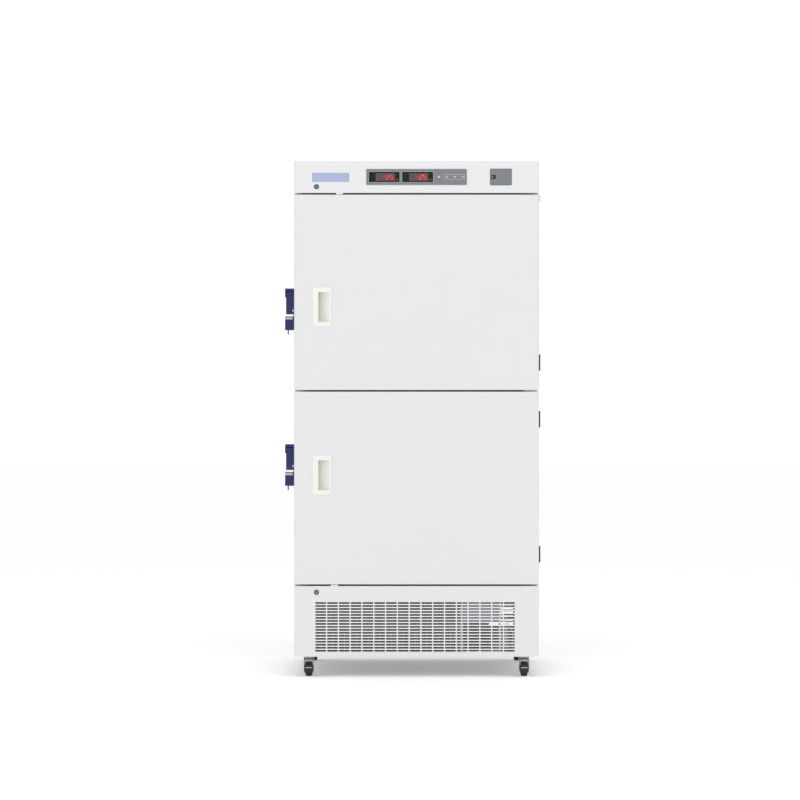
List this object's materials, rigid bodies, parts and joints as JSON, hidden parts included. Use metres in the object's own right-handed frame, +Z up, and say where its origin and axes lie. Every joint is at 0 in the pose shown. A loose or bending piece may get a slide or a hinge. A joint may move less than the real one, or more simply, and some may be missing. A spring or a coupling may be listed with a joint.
{
  "type": "laboratory freezer",
  "caption": "Two-door upright laboratory freezer on casters, with side latches, a control header and a slotted machine-room base.",
  "frame": {"origin": "on the floor, under the middle of the cabinet's width, halfway between the door fronts and the back", "axes": "+Z up, +X towards the hinge side (the right when facing the doors), -Y out of the doors"},
  "size_m": [0.8728, 0.7375, 1.755],
  "materials": {
    "case_white": "satin white enamel on sheet steel",
    "header_white": "satin pale blue-white enamel on sheet steel",
    "zinc_sheet": "dull galvanised sheet",
    "foam": "rigid cream foam",
    "liner_white": "smooth white formed sheet",
    "gasket_grey": "soft dark grey seal",
    "shelf_aluminium": "rolled aluminium plate",
    "pull_cream": "semi-gloss cream moulding",
    "latch_blue": "semi-gloss navy blue moulding",
    "latch_steel": "bright turned steel",
    "hinge_black": "satin black enamel",
    "lock_black": "black moulded barrel",
    "lock_steel": "plated key plug",
    "bezel_grey": "fine-textured mid grey moulding",
    "window_smoke": "dark smoked window",
    "board_green": "solder-masked board",
    "button_grey": "semi-gloss grey key",
    "plate_grey": "fine-textured grey moulding",
    "rocker_black": "semi-gloss black rocker",
    "coil_aluminium": "thin fin stock",
    "motor_black": "black enamel",
    "fan_black": "moulded fan",
    "box_white": "white enamelled box",
    "copper": "drawn copper tube",
    "caster_steel": "bright zinc-plated pressing",
    "wheel_black": "black wheel",
    "pedal_black": "black brake pedal"
  },
  "bodies": {
    "cabinet": {"outer_case": "case_white", "back_panel": "zinc_sheet", "insulation": "foam", "chamber_liners": "liner_white", "front_frame": "liner_white", "evaporator_shelves": "shelf_aluminium", "base_chassis": "zinc_sheet", "base_front_panel": "case_white", "rear_service_cover": "zinc_sheet", "header_fascia": "header_white", "control_bezel": "bezel_grey", "display_windows": "window_smoke", "controller_board": "board_green", "power_plate": "plate_grey", "lock_barrels": "lock_black", "latch_keepers": "latch_steel", "cabinet_hinge_leaves": "hinge_black", "condenser_coil": "coil_aluminium", "fan_shroud": "zinc_sheet", "fan_motor": "motor_black", "compressor": "motor_black", "electrical_box": "box_white", "refrigerant_lines": "copper", "caster_plates": "caster_steel"},
    "upper_door": {"upper_door_skin": "case_white", "upper_door_foam": "foam", "upper_door_liner": "liner_white", "upper_door_gasket": "gasket_grey", "upper_door_pull": "pull_cream", "upper_door_hinge_leaves": "hinge_black", "upper_latch_housing": "latch_blue"},
    "upper_latch_lever_body": {"upper_latch_lever": "latch_blue"},
    "upper_lock_pin_body": {"upper_lock_pin": "latch_steel"},
    "lower_door": {"lower_door_skin": "case_white", "lower_door_foam": "foam", "lower_door_liner": "liner_white", "lower_door_gasket": "gasket_grey", "lower_door_pull": "pull_cream", "lower_door_hinge_leaves": "hinge_black", "lower_latch_housing": "latch_blue"},
    "lower_latch_lever_body": {"lower_latch_lever": "latch_blue"},
    "lower_lock_pin_body": {"lower_lock_pin": "latch_steel"},
    "header_lock": {"header_lock_plug": "lock_steel"},
    "base_lock": {"base_lock_plug": "lock_steel"},
    "button_1": {"control_button_1": "button_grey"},
    "button_2": {"control_button_2": "button_grey"},
    "button_3": {"control_button_3": "button_grey"},
    "button_4": {"control_button_4": "button_grey"},
    "rocker": {"power_rocker": "rocker_black"},
    "fan": {"fan_blade": "fan_black"},
    "front_left_swivel": {"front_left_fork": "caster_steel"},
    "front_left_roller": {"front_left_wheel": "wheel_black"},
    "front_left_brake": {"front_left_pedal": "pedal_black"},
    "front_right_swivel": {"front_right_fork": "caster_steel"},
    "front_right_roller": {"front_right_wheel": "wheel_black"},
    "front_right_brake": {"front_right_pedal": "pedal_black"},
    "rear_left_swivel": {"rear_left_fork": "caster_steel"},
    "rear_left_roller": {"rear_left_wheel": "wheel_black"},
    "rear_right_swivel": {"rear_right_fork": "caster_steel"},
    "rear_right_roller": {"rear_right_wheel": "wheel_black"}
  },
  "joints": [
    {"name": "upper_door_hinge", "type": "hinge", "parent": "cabinet", "child": "upper_door", "pos_m": [0.4209, -0.2932, 1.07], "axis": [0, 0, 1], "range_deg": [0, 110]},
    {"name": "upper_latch", "type": "hinge", "parent": "upper_door", "child": "upper_latch_lever_body", "pos_m": [-0.4335, -0.3255, 1.307], "axis": [-1, 0, 0], "range_deg": [0, 60]},
    {"name": "upper_lock_pin_slide", "type": "slide", "parent": "upper_door", "child": "upper_lock_pin_body", "axis": [0, 0, 1], "range_m": [0, 0.01]},
    {"name": "lower_door_hinge", "type": "hinge", "parent": "cabinet", "child": "lower_door", "pos_m": [0.4209, -0.2932, 0.876], "axis": [0, 0, 1], "range_deg": [0, 110]},
    {"name": "lower_latch", "type": "hinge", "parent": "lower_door", "child": "lower_latch_lever_body", "pos_m": [-0.4335, -0.3255, 0.776], "axis": [-1, 0, 0], "range_deg": [0, 60]},
    {"name": "lower_lock_pin_slide", "type": "slide", "parent": "lower_door", "child": "lower_lock_pin_body", "axis": [0, 0, 1], "range_m": [0, 0.01]},
    {"name": "header_lock_turn", "type": "hinge", "parent": "cabinet", "child": "header_lock", "pos_m": [-0.34, -0.3675, 1.667], "axis": [0, 1, 0], "range_deg": [0, 90]},
    {"name": "base_lock_turn", "type": "hinge", "parent": "cabinet", "child": "base_lock", "pos_m": [-0.34, -0.3675, 0.288], "axis": [0, -1, 0], "range_deg": [0, 90]},
    {"name": "button_1_press", "type": "slide", "parent": "cabinet", "child": "button_1", "axis": [0, 1, 0], "range_m": [0, 0.0008], "stiffness_N_per_m": 800, "springref_m": -0.0004},
    {"name": "button_2_press", "type": "slide", "parent": "cabinet", "child": "button_2", "axis": [0, 1, 0], "range_m": [0, 0.0008], "stiffness_N_per_m": 800, "springref_m": -0.0004},
    {"name": "button_3_press", "type": "slide", "parent": "cabinet", "child": "button_3", "axis": [0, 1, 0], "range_m": [0, 0.0008], "stiffness_N_per_m": 800, "springref_m": -0.0004},
    {"name": "button_4_press", "type": "slide", "parent": "cabinet", "child": "button_4", "axis": [0, 1, 0], "range_m": [0, 0.0008], "stiffness_N_per_m": 800, "springref_m": -0.0004},
    {"name": "rocker_tilt", "type": "hinge", "parent": "cabinet", "child": "rocker", "pos_m": [0.262, -0.366, 1.7], "axis": [0, 0, 1], "range_deg": [0, 16]},
    {"name": "fan_spin", "type": "hinge", "parent": "cabinet", "child": "fan", "pos_m": [-0.097, -0.2735, 0.1705], "axis": [0, 1, 0], "continuous": true},
    {"name": "front_left_swivel_turn", "type": "hinge", "parent": "cabinet", "child": "front_left_swivel", "pos_m": [-0.367, -0.3055, 0.06], "axis": [0, 0, 1], "continuous": true},
    {"name": "front_left_wheel_roll", "type": "hinge", "parent": "front_left_swivel", "child": "front_left_roller", "pos_m": [-0.367, -0.3235, 0.025], "axis": [1, 0, 0], "continuous": true},
    {"name": "front_left_pedal_tilt", "type": "hinge", "parent": "front_left_swivel", "child": "front_left_brake", "pos_m": [-0.367, -0.34542, 0.04692], "axis": [-1, 0, 0], "range_deg": [0, 20]},
    {"name": "front_right_swivel_turn", "type": "hinge", "parent": "cabinet", "child": "front_right_swivel", "pos_m": [0.367, -0.3055, 0.06], "axis": [0, 0, 1], "continuous": true},
    {"name": "front_right_wheel_roll", "type": "hinge", "parent": "front_right_swivel", "child": "front_right_roller", "pos_m": [0.367, -0.3235, 0.025], "axis": [1, 0, 0], "continuous": true},
    {"name": "front_right_pedal_tilt", "type": "hinge", "parent": "front_right_swivel", "child": "front_right_brake", "pos_m": [0.367, -0.34542, 0.04692], "axis": [-1, 0, 0], "range_deg": [0, 20]},
    {"name": "rear_left_swivel_turn", "type": "hinge", "parent": "cabinet", "child": "rear_left_swivel", "pos_m": [-0.367, 0.3055, 0.06], "axis": [0, 0, 1], "continuous": true},
    {"name": "rear_left_wheel_roll", "type": "hinge", "parent": "rear_left_swivel", "child": "rear_left_roller", "pos_m": [-0.367, 0.2875, 0.025], "axis": [1, 0, 0], "continuous": true},
    {"name": "rear_right_swivel_turn", "type": "hinge", "parent": "cabinet", "child": "rear_right_swivel", "pos_m": [0.367, 0.3055, 0.06], "axis": [0, 0, 1], "continuous": true},
    {"name": "rear_right_wheel_roll", "type": "hinge", "parent": "rear_right_swivel", "child": "rear_right_roller", "pos_m": [0.367, 0.2875, 0.025], "axis": [1, 0, 0], "continuous": true}
  ]
}
